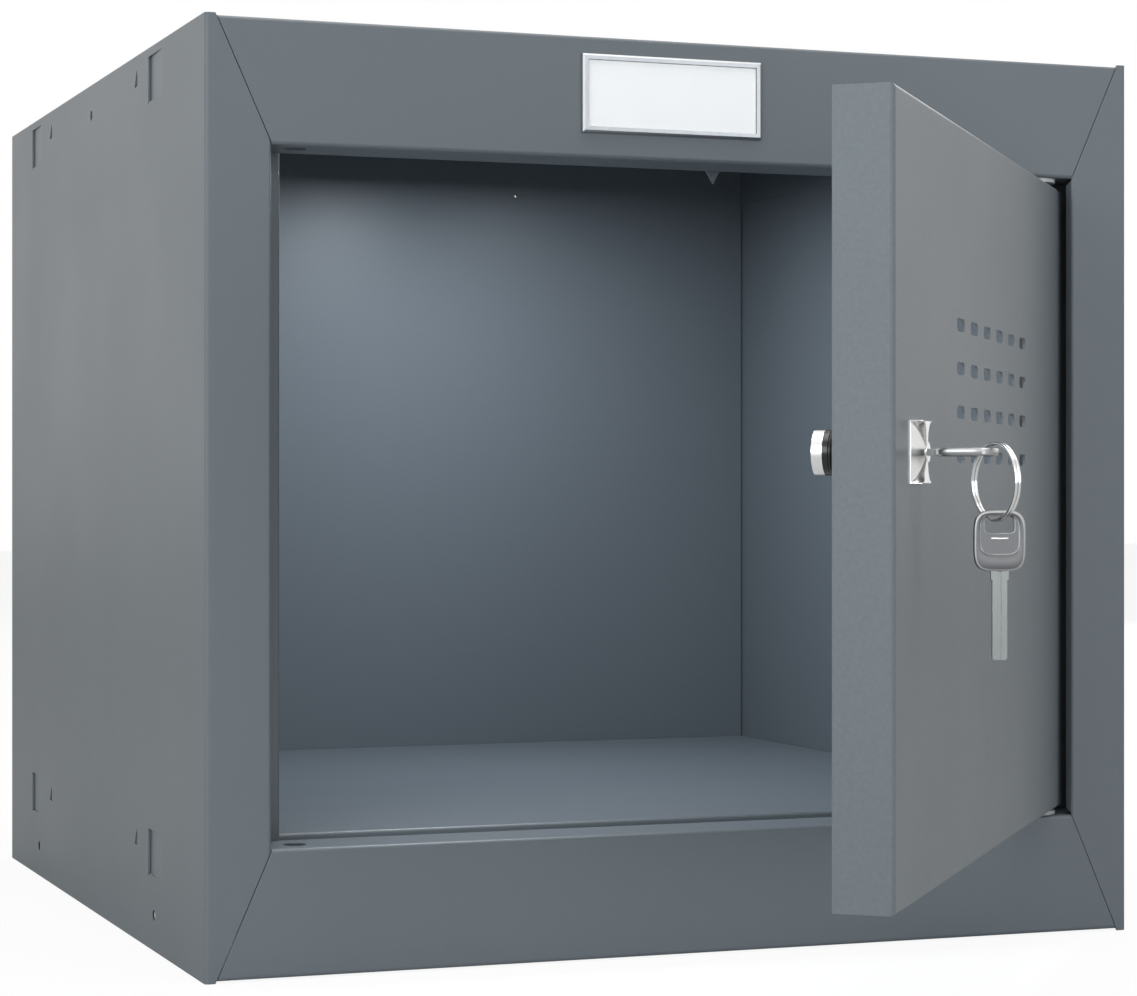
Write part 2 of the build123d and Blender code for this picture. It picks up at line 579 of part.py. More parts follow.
def key_ring():
    """Two turns of wire side by side, joined by a short crossover."""
    def at(angle, level):
        turn = math.radians(angle)
        return Vector(RING_RADIUS * math.cos(turn), RING_RADIUS * math.sin(turn), level)

    level = RING_PITCH / 2
    lap, full = RING_CROSSOVER, 360.0
    first = ThreePointArc(at(lap, -level), at(full / 2, -level), at(full - lap, -level))
    second = ThreePointArc(at(full + lap, level), at(full * 1.5, level), at(2 * full - lap, level))
    steps = [at(full - lap + lap * 2 * share, level * (-math.cos(math.pi * share))) for share in (0.25, 0.5, 0.75)]
    joint = Spline(first @ 1, *steps, second @ 0, tangents=(first % 1, second % 0))
    path = Wire([first, joint, second])
    section = Plane(origin=first @ 0, z_dir=first % 0) * Circle(RING_WIRE / 2)
    wire = sweep(section, path=path)
    place = Plane(origin=ring_centre(), x_dir=heading(RING_HEADING),
                  z_dir=heading(RING_HEADING).cross(Vector(0, 0, 1)))
    return place * Rot(0, 0, RING_CROSSOVER_AT) * wire


def spare_key():
    """The second key, hanging from the bottom of the ring."""
    drop = math.sqrt(RING_RADIUS ** 2 - SPARE_ALONG_RING ** 2)
    wire = ring_centre() + heading(RING_HEADING) * SPARE_ALONG_RING - Vector(0, 0, drop)
    slot_top = wire.Z + RING_WIRE / 2 + SPARE_DROP
    tip = Vector(wire.X, wire.Y, slot_top + RING_SLOT_EDGE - KEY_LENGTH)
    across = heading(SPARE_HEADING)
    return Plane(origin=tip, x_dir=across, z_dir=across.cross(Vector(0, 0, 1))) * key_blank()


def badge_frame():
    """A bevelled border for the blank badge on the top rail."""
    width, height = BADGE
    outer = extrude(Rectangle(width, height), amount=BADGE_THICK)
    outer = chamfer(outer.faces().sort_by(Axis.Z)[-1].edges(), 0.8)
    window = extrude(Rectangle(width - 2 * BADGE_BORDER, height - 2 * BADGE_BORDER), amount=2 * BADGE_THICK)
    return Pos(BADGE_X, FRONT, HEIGHT - BADGE_DROP) * Rot(90, 0, 0) * (outer - window)


def badge_panel():
    """The blank white panel inside the badge's border."""
    inset = BADGE_BORDER + BADGE_SLIP
    panel = extrude(Rectangle(BADGE[0] - 2 * inset, BADGE[1] - 2 * inset), amount=BADGE_PANEL_THICK)
    return Pos(BADGE_X, FRONT, HEIGHT - BADGE_DROP) * Rot(90, 0, 0) * panel


def opened(shape):
    """Swing a shape drawn on the closed door to the resting angle."""
    hinge = Location((PIVOT_X, PIVOT_Y, 0))
    return hinge * Rot(0, 0, REST_ANGLE) * hinge.inverse() * shape


TOP_EDGE = HEIGHT - RAIL_REVEAL
PARTS = {
    "left_side_panel": left_side_panel(LOCK_SIDE_TABS),
    "right_side_panel": mirrored(left_side_panel(HINGE_SIDE_TABS)),
    "top_rail": rail(TOP_EDGE, OPENING_TOP) + rail_tab(),
    "base_rail": rail(RAIL_REVEAL, OPENING_BOTTOM),
    "top_tray": storage_tray(HEIGHT),
    "floor_tray": storage_tray(FLOOR_TOP),
    "back_panel": back_panel(),
    "lock_side_stop": stop_strip(),
    "hinge_side_stop": mirrored(stop_strip()),
    "upper_pivot_bush": pivot_bush(OPENING_TOP, 1),
    "lower_pivot_bush": pivot_bush(OPENING_BOTTOM, -1),
    "badge_frame": badge_frame(),
    "badge_panel": badge_panel(),
    "door_tray": opened(door_tray()),
    "upper_pivot_pin": opened(pivot_pin(DOOR_TOP, OPENING_TOP, 1)),
    "lower_pivot_pin": opened(pivot_pin(DOOR_BOTTOM, OPENING_BOTTOM, -1)),
    "lock_bezel": opened(lock_bezel()),
    "lock_barrel": opened(lock_barrel()),
    "lock_nut": opened(lock_nut()),
    "lock_plug": opened(lock_plug()),
    "lock_cam": opened(lock_cam()),
    "cam_screw": opened(cam_screw()),
    "key": opened(key_in_lock()),
    "key_ring": opened(key_ring()),
    "spare_key": opened(spare_key()),
}

for name, shape in PARTS.items():
    export_step(shape, f"parts/{name}.step")
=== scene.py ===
"""Looks of a cube locker, with the finely worked pieces that its plain solids lack.

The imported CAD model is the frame. Everything is in metres in its frame: +Z up, the front faces -Y and the
hinge side is +X. The door stands open at its resting angle, one key in the lock and a spare on the ring.
The lock's bezel, barrel and plug and both keys are modelled here in full and stand in for the plain ones.
Every other piece keeps its solid and gets its finish.
"""
from __future__ import annotations

import json
import logging
import math
from dataclasses import dataclass, field
from enum import Enum
from typing import Sequence

import bmesh
import bpy
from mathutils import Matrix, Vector

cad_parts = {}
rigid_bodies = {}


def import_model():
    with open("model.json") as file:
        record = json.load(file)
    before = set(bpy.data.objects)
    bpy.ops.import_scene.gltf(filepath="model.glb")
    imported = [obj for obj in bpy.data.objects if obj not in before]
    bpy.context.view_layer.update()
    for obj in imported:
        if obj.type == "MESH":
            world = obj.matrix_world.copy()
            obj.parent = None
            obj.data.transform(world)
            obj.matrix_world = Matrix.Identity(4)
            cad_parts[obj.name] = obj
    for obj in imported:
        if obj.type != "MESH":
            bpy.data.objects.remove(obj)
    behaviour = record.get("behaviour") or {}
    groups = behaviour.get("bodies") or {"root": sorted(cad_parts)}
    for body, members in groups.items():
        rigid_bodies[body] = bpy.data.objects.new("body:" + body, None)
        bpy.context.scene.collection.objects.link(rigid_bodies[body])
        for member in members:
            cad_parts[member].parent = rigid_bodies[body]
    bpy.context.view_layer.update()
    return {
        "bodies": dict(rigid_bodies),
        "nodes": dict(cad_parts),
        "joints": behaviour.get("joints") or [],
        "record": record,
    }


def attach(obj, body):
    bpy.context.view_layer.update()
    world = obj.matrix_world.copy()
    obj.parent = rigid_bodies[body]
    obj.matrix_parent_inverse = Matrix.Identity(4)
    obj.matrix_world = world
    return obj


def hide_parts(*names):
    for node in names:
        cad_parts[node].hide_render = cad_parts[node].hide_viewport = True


LOG = logging.getLogger("cube_locker")
MM = 0.001
IMAGE_WIDTH = 1137
IMAGE_HEIGHT = 996

Colour = tuple[float, float, float]
Point = tuple[float, float, float]
Pair = tuple[float, float]

WHITE = (1.0, 1.0, 1.0, 1.0)
UP = Vector((0.0, 0.0, 1.0))
LOCKER_MIDDLE: Point = (0.0, -0.1, 0.18)
SHARPEST_SMOOTH = math.radians(35.0)


@dataclass(frozen=True)
class Grain:
    """Noise of one size: features per metre, octaves, and how strong the fine octaves are."""

    scale: float
    detail: float
    roughness: float = 0.5


class Graph:
    """A small builder for one material's node tree.

    Noise mostly stays between its two ends. A surface counts as an edge from the first cosine between its
    rounded and its flat normal, and wholly so from the second. The mix numbers are the colour mix's sockets.
    """

    NOISE_ENDS: Pair = (0.3, 0.7)
    EDGE_COSINES: Pair = (0.985, 0.85)
    BEVEL_SAMPLES = 4
    MIX_UNDER = 6
    MIX_OVER = 7
    MIX_RESULT = 2

    def __init__(self, name: str) -> None:
        """Start an empty material with a Principled shader and its output.

        Args:
            name: the material's name.
        """
        self.material = bpy.data.materials.new(name)
        self.material.use_nodes = True
        self.tree = self.material.node_tree
        self.tree.nodes.clear()
        self.output = self.add("ShaderNodeOutputMaterial")
        self.shader = self.add("ShaderNodeBsdfPrincipled")
        self.link(self.shader, "BSDF", self.output, "Surface")

    def add(self, kind: str, **settings: object) -> bpy.types.Node:
        """Add a node and set plain attributes or input sockets on it.

        Args:
            kind: Blender's node type.
            settings: attribute names, or socket names with underscores for spaces.

        Returns:
            The new node.
        """
        node = self.tree.nodes.new(kind)
        for key, value in settings.items():
            if hasattr(node, key):
                setattr(node, key, value)
            else:
                node.inputs[key.replace("_", " ")].default_value = value
        return node

    def link(self, source: bpy.types.Node, out: str | int, target: bpy.types.Node, into: str | int) -> None:
        """Join an output socket to an input socket.

        Args:
            source: the node to read from.
            out: its output socket.
            target: the node to feed.
            into: its input socket.
        """
        self.tree.links.new(source.outputs[out], target.inputs[into])

    def noise(self, grain: Grain) -> bpy.types.Node:
        """Add noise laid on the object's own coordinates.

        Args:
            grain: the noise's size and strength.

        Returns:
            The noise node.
        """
        place = self.add("ShaderNodeTexCoord")
        noise = self.add("ShaderNodeTexNoise", Scale=grain.scale, Detail=grain.detail,
                         Roughness=grain.roughness)
        self.link(place, "Object", noise, "Vector")
        return noise

    def span(self, noise: bpy.types.Node, low: float, high: float) -> bpy.types.Node:
        """Map noise, which stays near its middle, onto a range.

        Args:
            noise: the noise node.
            low: result at the low end of the noise's usual values.
            high: result at their high end.

        Returns:
            The map range node.
        """
        least, most = self.NOISE_ENDS
        node = self.add("ShaderNodeMapRange", From_Min=least, From_Max=most, To_Min=low, To_Max=high)
        self.link(noise, "Fac", node, "Value")
        return node

    def tones(self, factor: bpy.types.Node, low: Colour, high: Colour) -> bpy.types.Node:
        """Blend two fixed colours by a value.

        Args:
            factor: node whose first output is 0 for low and 1 for high.
            low: colour at 0.
            high: colour at 1.

        Returns:
            The colour ramp node.
        """
        ramp = self.add("ShaderNodeValToRGB")
        for element, colour in zip(ramp.color_ramp.elements, (low, high)):
            element.color = (*colour, 1.0)
        self.link(factor, 0, ramp, "Fac")
        return ramp

    def overlay(self, factor: bpy.types.Node, under: bpy.types.Node, over: Colour) -> bpy.types.Node:
        """Lay a fixed colour over another node's colour.

        Args:
            factor: node whose first output says how much of the colour over shows.
            under: node with the colour under it in its output Color.
            over: the colour laid over.

        Returns:
            The colour mix node.
        """
        mix = self.add("ShaderNodeMix", data_type="RGBA")
        self.link(factor, 0, mix, 0)
        self.link(under, "Color", mix, self.MIX_UNDER)
        mix.inputs[self.MIX_OVER].default_value = (*over, 1.0)
        return mix

    def rounded(self, radius: float) -> bpy.types.Node:
        """Add a normal that runs smoothly over every edge.

        Args:
            radius: how far from an edge it starts to bend, in metres.

        Returns:
            The bevel node.
        """
        return self.add("ShaderNodeBevel", samples=self.BEVEL_SAMPLES, Radius=radius)

    def edges(self, rounded: bpy.types.Node) -> bpy.types.Node:
        """Find edges by how far the rounded normal leans from the flat one.

        Args:
            rounded: the bevel node that the surface uses.

        Returns:
            A node that is 1 on edges and 0 on flat faces.
        """
        flat = self.add("ShaderNodeNewGeometry")
        lean = self.add("ShaderNodeVectorMath", operation="DOT_PRODUCT")
        self.link(rounded, "Normal", lean, 0)
        self.link(flat, "Normal", lean, 1)
        faint, full = self.EDGE_COSINES
        mask = self.add("ShaderNodeMapRange", From_Min=faint, From_Max=full, To_Min=0.0, To_Max=1.0)
        self.link(lean, "Value", mask, "Value")
        return mask

    def edge_wear_and_highlight(self, rounded: bpy.types.Node, patches: Grain, wear_and_highlight_share: Pair) -> bpy.types.Node:
        """Say how much of an edge's colour shows, more in some patches than in others: wear on most
        finishes, a painted highlight on the key bow's rim.

        Args:
            rounded: the bevel node that the surface uses.
            patches: the noise that breaks the edge colour up.
            wear_and_highlight_share: the least and the most of the edge colour on an edge.

        Returns:
            The multiplying node, which is 0 off the edges.
        """
        mask, worn = self.edges(rounded), self.span(self.noise(patches), *wear_and_highlight_share)
        share = self.add("ShaderNodeMath", operation="MULTIPLY")
        self.link(mask, 0, share, 0)
        self.link(worn, 0, share, 1)
        return share

    def coat(self, colour: bpy.types.Node, roughness: bpy.types.Node) -> None:
        """Feed the shader its colour and its roughness.

        Args:
            colour: the colour mix node.
            roughness: the map range node.
        """
        self.link(colour, self.MIX_RESULT, self.shader, "Base Color")
        self.link(roughness, "Result", self.shader, "Roughness")

    def relief(self, height: bpy.types.Node, depth: float, strength: float, base: bpy.types.Node) -> None:
        """Raise the surface by a value, on top of rounded edges.

        Args:
            height: node whose first output is the height.
            depth: height in metres.
            strength: how much of it shows.
            base: the bevel node with the rounded normal.
        """
        bump = self.add("ShaderNodeBump", Distance=depth, Strength=strength)
        self.link(height, 0, bump, "Height")
        self.link(base, "Normal", bump, "Normal")
        self.link(bump, "Normal", self.shader, "Normal")


def scaled(colour: Colour, factor: float) -> Colour:
    """Returns: the colour made lighter or darker."""
    return tuple(channel * factor for channel in colour)


@dataclass(frozen=True)
class PowderCoat:
    """Satin blue-grey powder coat: fine speckle, faint clouding, thinner and paler along its edges."""

    name: str
    speckle: float
    colour: Colour = (0.150, 0.172, 0.190)
    worn: Colour = (0.235, 0.262, 0.282)
    roughness: float = 0.42
    edge: float = 0.4 * MM
    grain: Grain = Grain(650.0, 3.0, 0.6)
    patches: Grain = Grain(90.0, 4.0)
    wear_and_highlight_share: Pair = (0.1, 0.7)
    clouds: Grain = Grain(12.0, 2.0)
    clouding: float = 0.02
    peel: Grain = Grain(900.0, 2.0)
    peel_depth: float = 0.03 * MM
    peel_strength: float = 0.2
    peel_per_speckle: float = 3.0

    def build(self) -> bpy.types.Material:
        """Returns: the finished material."""
        graph = Graph(self.name)
        rounded = graph.rounded(self.edge)
        grain = graph.span(graph.noise(self.grain), 0.0, 1.0)
        dark, light = scaled(self.colour, 1.0 - self.speckle), scaled(self.colour, 1.0 + self.speckle)
        paint = graph.tones(grain, dark, light)
        thin = graph.edge_wear_and_highlight(rounded, self.patches, self.wear_and_highlight_share)
        clouds = graph.noise(self.clouds)
        rough = graph.span(clouds, self.roughness - self.clouding, self.roughness + self.clouding)
        graph.coat(graph.overlay(thin, paint, self.worn), rough)
        strength = self.peel_strength + self.peel_per_speckle * self.speckle
        graph.relief(graph.noise(self.peel), self.peel_depth, strength, rounded)
        return graph.material


@dataclass(frozen=True)
class PlatedMetal:
    """Chrome, nickel or zinc: a metal with faint unevenness, fine handling marks and a pale edge colour,
    which is rubbing on most pieces and a painted highlight on the key's bow.
    """

    name: str
    colour: Colour
    roughness: float
    marks: float = 0.03
    rub_and_highlight: Colour = (0.93, 0.93, 0.92)
    edge: float = 0.15 * MM
    grain: Grain = Grain(900.0, 4.0, 0.65)
    mottle: Grain = Grain(60.0, 3.0)
    darkest: float = 0.95
    patches: Grain = Grain(300.0, 3.0)
    wear_and_highlight_share: Pair = (0.2, 0.9)
    smoothest: float = 0.02
    relief_depth: float = 0.01 * MM
    relief_strength: float = 0.15

    def build(self) -> bpy.types.Material:
        """Returns: the finished material."""
        graph = Graph(self.name)
        graph.shader.inputs["Metallic"].default_value = 1.0
        rounded = graph.rounded(self.edge)
        mottle = graph.span(graph.noise(self.mottle), 0.0, 1.0)
        plating = graph.tones(mottle, scaled(self.colour, self.darkest), self.colour)
        # Pale edge colour: rubbing on most pieces; on the key's bow, with its wide edge band, a painted
        # highlight along the rim.
        rub_and_highlight_mask = graph.edge_wear_and_highlight(rounded, self.patches, self.wear_and_highlight_share)
        fine = graph.noise(self.grain)
        smooth = max(self.smoothest, self.roughness - self.marks)
        rough = graph.span(fine, smooth, self.roughness + self.marks)
        graph.coat(graph.overlay(rub_and_highlight_mask, plating, self.rub_and_highlight), rough)
        graph.relief(fine, self.relief_depth, self.relief_strength, rounded)
        return graph.material


@dataclass(frozen=True)
class MouldedPlastic:
    """A plastic with a faint mottle, a fine grain and handled edges; its glow is painted light that
    brightens it, not a lamp.
    """

    name: str
    colour: Colour
    roughness: float
    dulled: float = 0.9
    glow: float = 0.0
    edge: float = 0.2 * MM
    grain: Grain = Grain(1200.0, 2.0)
    mottle: Grain = Grain(80.0, 3.0)
    darkest: float = 0.97
    patches: Grain = Grain(200.0, 3.0)
    wear_and_highlight_share: Pair = (0.1, 0.8)
    marks: float = 0.03
    relief_depth: float = 0.01 * MM
    relief_strength: float = 0.2

    def build(self) -> bpy.types.Material:
        """Returns: the finished material."""
        graph = Graph(self.name)
        rounded = graph.rounded(self.edge)
        mottle = graph.span(graph.noise(self.mottle), 0.0, 1.0)
        body = graph.tones(mottle, scaled(self.colour, self.darkest), self.colour)
        handled = graph.edge_wear_and_highlight(rounded, self.patches, self.wear_and_highlight_share)
        mixed = graph.overlay(handled, body, scaled(self.colour, self.dulled))
        fine = graph.noise(self.grain)
        graph.coat(mixed, graph.span(fine, self.roughness - self.marks, self.roughness + self.marks))
        # The glow is painted light, not a lamp.
        graph.link(mixed, graph.MIX_RESULT, graph.shader, "Emission Color")
        graph.shader.inputs["Emission Strength"].default_value = self.glow
        graph.relief(fine, self.relief_depth, self.relief_strength, rounded)
        return graph.material


class Finish(Enum):
    """The finishes of the locker's pieces."""

    CABINET_PAINT = PowderCoat("grey_powder_coat", 0.015)
    DOOR_PAINT = PowderCoat("door_powder_coat", 0.065)
    WHITE_NYLON = MouldedPlastic("white_nylon", (0.80, 0.80, 0.78), 0.45)
    SILVER_TRIM = PlatedMetal("silver_trim", (0.38, 0.39, 0.40), 0.34, 0.05, (0.55, 0.56, 0.57),
                              grain=Grain(500.0, 4.0, 0.65))
    # The white panel's glow is painted light: it is no lamp and only makes the panel brighter.
    WHITE_PANEL = MouldedPlastic("white_panel", (0.95, 0.95, 0.95), 0.25, 0.97, glow=0.2)
    ZINC_STEEL = PlatedMetal("zinc_steel", (0.62, 0.63, 0.64), 0.30, 0.06)
    BRIGHT_CHROME = PlatedMetal("bright_chrome", (0.86, 0.86, 0.85), 0.22, 0.02)
    BLACK_HOUSING = MouldedPlastic("black_housing", (0.012, 0.012, 0.013), 0.22, 1.6)
    NICKEL_KEY = PlatedMetal("nickel_key", (0.19, 0.20, 0.19), 0.30, 0.03)
    # A brighter copy of the key's nickel on the faces round the bow's edge: a painted highlight on its rim.
    PAINTED_RIM_HIGHLIGHT = PlatedMetal("painted_rim_highlight", (0.34, 0.34, 0.34), 0.30, 0.03, rub_and_highlight=(0.55, 0.55, 0.55))
    # The bow's 0.7 mm edge band in the pale rub colour is a painted highlight along its rounded rim.
    NICKEL_BOW = PlatedMetal("nickel_bow", (0.125, 0.125, 0.125), 0.34, 0.03, edge=0.7 * MM)
    RING_STEEL = PlatedMetal("ring_steel", (0.80, 0.80, 0.80), 0.13, 0.03)


def ring_faces(count: int, steps: int, closed: bool) -> list[tuple[int, ...]]:
    """Faces between rings of equal numbers of points.

    Args:
        count: how many points there are in all rings.
        steps: points in each ring.
        closed: whether the last ring joins the first; otherwise a flat face closes each end.

    Returns:
        The faces, by vertex number.
    """
    rings = count // steps
    faces = []
    for ring in range(rings if closed else rings - 1):
        here, there = ring * steps, (ring + 1) % rings * steps
        for step in range(steps):
            after = (step + 1) % steps
            faces.append((here + step, here + after, there + after, there + step))
    if not closed:
        faces += [tuple(reversed(range(steps))), tuple(range(count - steps, count))]
    return faces


@dataclass
class Workshop:
    """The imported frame, and each finish made once."""

    frame: dict
    made: dict[Finish, bpy.types.Material] = field(default_factory=dict)

    def material(self, finish: Finish) -> bpy.types.Material:
        """Give a finish's material, making it when it is first asked for.

        Args:
            finish: which finish.

        Returns:
            Its material.
        """
        if finish not in self.made:
            self.made[finish] = finish.value.build()
        return self.made[finish]

    def dress(self, node: str, finish: Finish) -> None:
        """Give a CAD node its finish.

        Args:
            node: the node's name.
            finish: which finish.
        """
        slots = self.frame["nodes"][node].data.materials
        slots.clear()
        slots.append(self.material(finish))
        LOG.info("%s: %s", node, finish.value.name)

    def joint(self, name: str) -> dict:
        """Returns: the joint of that name."""
        return next(joint for joint in self.frame["joints"] if joint["name"] == name)

    def corners(self, node: str) -> list[Vector]:
        """Returns: every vertex of a CAD node."""
        return [vertex.co.copy() for vertex in self.frame["nodes"][node].data.vertices]

    def add(self, name: str, points: Sequence[Vector], steps: int, finish: Finish,
            closed: bool = True) -> bpy.types.Object:
        """Make a smooth-shaded mesh piece from rings of points, with its normals outwards.

        Args:
            name: the piece's name.
            points: its vertices in the shared frame, ring by ring.
            steps: points in each ring.
            finish: which finish.
            closed: whether the last ring joins the first; otherwise a flat face closes each end.

        Returns:
            The new object.
        """
        faces = ring_faces(len(points), steps, closed)
        mesh = bpy.data.meshes.new(name)
        mesh.from_pydata([tuple(point) for point in points], [], faces)
        shell = bmesh.new()
        shell.from_mesh(mesh)
        bmesh.ops.recalc_face_normals(shell, faces=shell.faces)
        shell.to_mesh(mesh)
        shell.free()
        mesh.shade_smooth()
        mesh.set_sharp_from_angle(angle=SHARPEST_SMOOTH)
        mesh.materials.append(self.material(finish))
        piece = bpy.data.objects.new(name, mesh)
        bpy.context.scene.collection.objects.link(piece)
        LOG.info("%s: %d faces, %s", name, len(faces), finish.value.name)
        return piece


@dataclass
class Cabinet:
    """The fixed shell: folded sheets, welded stops and the pivot bushes."""

    shop: Workshop
    sheets: tuple[str, ...] = ("left_side_panel", "right_side_panel", "top_rail", "base_rail", "top_tray",
                               "floor_tray", "back_panel", "lock_side_stop", "hinge_side_stop")
    bushes: tuple[str, ...] = ("upper_pivot_bush", "lower_pivot_bush")

    def build(self) -> None:
        """Paint the sheets and finish the bushes."""
        for sheet in self.sheets:
            self.shop.dress(sheet, Finish.CABINET_PAINT)
        for bush in self.bushes:
            self.shop.dress(bush, Finish.WHITE_NYLON)


@dataclass
class Badge:
    """The blank badge on the top rail."""

    shop: Workshop

    def build(self) -> None:
        """Finish the border and the bare panel."""
        self.shop.dress("badge_frame", Finish.SILVER_TRIM)
        self.shop.dress("badge_panel", Finish.WHITE_PANEL)


@dataclass
class Door:
    """The folded door and its pivot pins."""

    shop: Workshop

    def build(self) -> None:
        """Paint the door and finish its pins."""
        self.shop.dress("door_tray", Finish.DOOR_PAINT)
        for pin in ("upper_pivot_pin", "lower_pivot_pin"):
            self.shop.dress(pin, Finish.ZINC_STEEL)


@dataclass(frozen=True)
class Axis:
    """A turning axis with its own cross directions; heights are measured out along it."""

    origin: Vector
    out: Vector

    def place(self, across: float, up: float, height: float) -> Vector:
        """A point given in the axis's own directions.

        Args:
            across: level distance towards the hinge side.
            up: distance upwards.
            height: distance out along the axis.

        Returns:
            The point in the shared frame.
        """
        return self.origin + UP.cross(self.out) * across + UP * up + self.out * height

    def circle(self, radius: float, height: float, steps: int) -> list[Vector]:
        """Points round the axis.

        Args:
            radius: the circle's radius.
            height: distance out along the axis.
            steps: how many points.

        Returns:
            The points, counter-clockwise seen from outside.
        """
        angles = [2.0 * math.pi * step / steps for step in range(steps)]
        return [self.place(radius * math.cos(angle), radius * math.sin(angle), height) for angle in angles]


@dataclass(frozen=True)
class BezelForm:
    """Square chromed bezel, its two upright sides scooped out towards the middle, the hinge side further."""

    half: float = 10.2 * MM
    height: float = 4.3 * MM
    rim: float = 0.6 * MM
    hole: float = 3.45 * MM
    scoop_reach: float = 7.9 * MM
    far_reach: float = 11.2 * MM
    scoop_half: float = 10.0 * MM
    floor_power: float = 1.3
    brow_power: float = 3.0
    edge_break: float = 0.3 * MM
    per_side: int = 36
    rings: int = 30
    closed: bool = True

    @property
    def steps(self) -> int:
        """Returns: how many points each ring has."""
        return 4 * self.per_side

    def reach(self, deepest: float, up: float, power: float) -> float:
        """How far a scoop's outline lies from the bezel's side.

        Args:
            deepest: its distance from the side at the middle.
            up: height above the middle.
            power: 2 for an ellipse, less for straighter, more for squarer.

        Returns:
            The distance in metres.
        """
        share = min(1.0, abs(up) / self.scoop_half)
        return deepest * (1.0 - share ** power) ** (1.0 / power)

    def surface(self, across: float, up: float) -> float:
        """Height of the front face: the scoop's sloping floor, the rise behind it, or the whole height.

        Args:
            across: distance from the axis along the door.
            up: distance from the axis upwards.

        Returns:
            The height above the door.
        """
        near = across < (self.scoop_reach - self.far_reach) / 2.0
        inset = max(0.0, self.half + (across if near else -across))
        deepest = self.scoop_reach if near else self.far_reach
        floor = self.rim + (self.height - self.rim) * min(1.0, inset / deepest)
        foot, brow = self.reach(deepest, up, self.floor_power), self.reach(deepest, up, self.brow_power)
        if inset >= brow:
            return self.height
        if inset <= foot:
            return floor
        rise = (inset - foot) / (brow - foot)
        return floor + (self.height - floor) * rise

    def outline(self, inset: float) -> list[Pair]:
        """Points along the square's edge, starting at the foot of its hinge side.

        Args:
            inset: how far inside the edge.

        Returns:
            The points, counter-clockwise seen from outside.
        """
        half = self.half - inset
        points = []
        for side in range(4):
            for step in range(self.per_side):
                along = half * (2.0 * step / self.per_side - 1.0)
                points.append(((half, along), (-along, half), (-half, -along), (along, -half))[side])
        return points

    def points(self, axis: Axis) -> list[Vector]:
        """Every vertex, ring by ring: front face from the hole outwards, side wall, then the back.

        Args:
            axis: the lock's axis.

        Returns:
            The points.
        """
        edge = self.outline(self.edge_break)
        hole = [(x * self.hole / math.hypot(x, y), y * self.hole / math.hypot(x, y)) for x, y in edge]
        placed = [axis.place(x, y, 0.0) for x, y in hole]
        for ring in range(self.rings + 1):
            share = ring / self.rings
            for (x0, y0), (x1, y1) in zip(hole, edge):
                x, y = x0 + (x1 - x0) * share, y0 + (y1 - y0) * share
                placed.append(axis.place(x, y, self.surface(x, y)))
        for (x, y), (x1, y1) in zip(self.outline(0.0), edge):
            placed.append(axis.place(x, y, self.surface(x1, y1) - self.edge_break))
        placed += [axis.place(x, y, 0.0) for x, y in self.outline(0.0)]
        return placed


@dataclass(frozen=True)
class PlugForm:
    """The turning core: a wide body, a narrow nose through the bezel and the keyway in it."""

    body: float = 5.5 * MM
    nose: float = 3.35 * MM
    step: float = 0.5 * MM
    front: float = 4.4 * MM
    edge_break: float = 0.2 * MM
    rear: float = -30.5 * MM
    tenon: float = 3.5 * MM
    tenon_length: float = 1.5 * MM
    keyway: Pair = (5.8 * MM, 2.2 * MM)
    keyway_floor: float = -21.5 * MM
    steps: int = 64
    closed: bool = False

    def points(self, axis: Axis) -> list[Vector]:
        """Every vertex, ring by ring from the rear along the outside and down into the keyway.

        Args:
            axis: the lock's axis.

        Returns:
            The points.
        """
        shoulder = self.rear + self.tenon_length
        profile = ((self.tenon, self.rear), (self.tenon, shoulder), (self.body, shoulder),
                   (self.body, self.step), (self.nose, self.step), (self.nose, self.front - self.edge_break),
                   (self.nose - self.edge_break, self.front))
        placed = []
        for radius, height in profile:
            placed += axis.circle(radius, height, self.steps)
        for height in (self.front, self.keyway_floor):
            placed += [axis.place(x, y, height) for x, y in self.slot()]
        return placed

    def slot(self) -> list[Pair]:
        """Returns: the keyway's outline, one point for each step round the axis."""
        half_width, half_height = self.keyway[0] / 2.0, self.keyway[1] / 2.0
        outline = []
        for step in range(self.steps):
            angle = 2.0 * math.pi * step / self.steps
            x, y = math.cos(angle), math.sin(angle)
            scale = 1.0 / max(abs(x) / half_width, abs(y) / half_height)
            outline.append((x * scale, y * scale))
        return outline


@dataclass(frozen=True)
class BarrelForm:
    """The housing behind the door: a tube with a single-start thread that fades out at both ends."""

    radius: float = 7.45 * MM
    bore: float = 5.55 * MM
    length: float = 29.0 * MM
    pitch: float = 1.0 * MM
    depth: float = 0.35 * MM
    plain_front: float = 1.2 * MM
    plain_rear: float = 1.6 * MM
    steps: int = 72
    rings_per_turn: int = 8
    closed: bool = True

    def radius_at(self, depth: float, turn: float) -> float:
        """Radius of the threaded surface.

        Args:
            depth: distance behind the door's face.
            turn: angle round the axis, as a share of a full turn.

        Returns:
            The radius.
        """
        phase = (depth / self.pitch - turn) % 1.0
        groove = 1.0 - abs(2.0 * phase - 1.0)
        ends = min(depth - self.plain_front, self.length - self.plain_rear - depth)
        fade = min(1.0, max(0.0, ends / self.pitch))
        return self.radius - self.depth * groove * fade

    def points(self, axis: Axis) -> list[Vector]:
        """Every vertex, ring by ring: the bore from the rear to the front, then the thread back again.

        Args:
            axis: the lock's axis.

        Returns:
            The points.
        """
        placed = axis.circle(self.bore, -self.length, self.steps) + axis.circle(self.bore, 0.0, self.steps)
        rings = round(self.length / self.pitch * self.rings_per_turn)
        for ring in range(rings + 1):
            depth = self.length * ring / rings
            for step in range(self.steps):
                turn = step / self.steps
                radius, angle = self.radius_at(depth, turn), 2.0 * math.pi * turn
                placed.append(axis.place(radius * math.cos(angle), radius * math.sin(angle), -depth))
        return placed


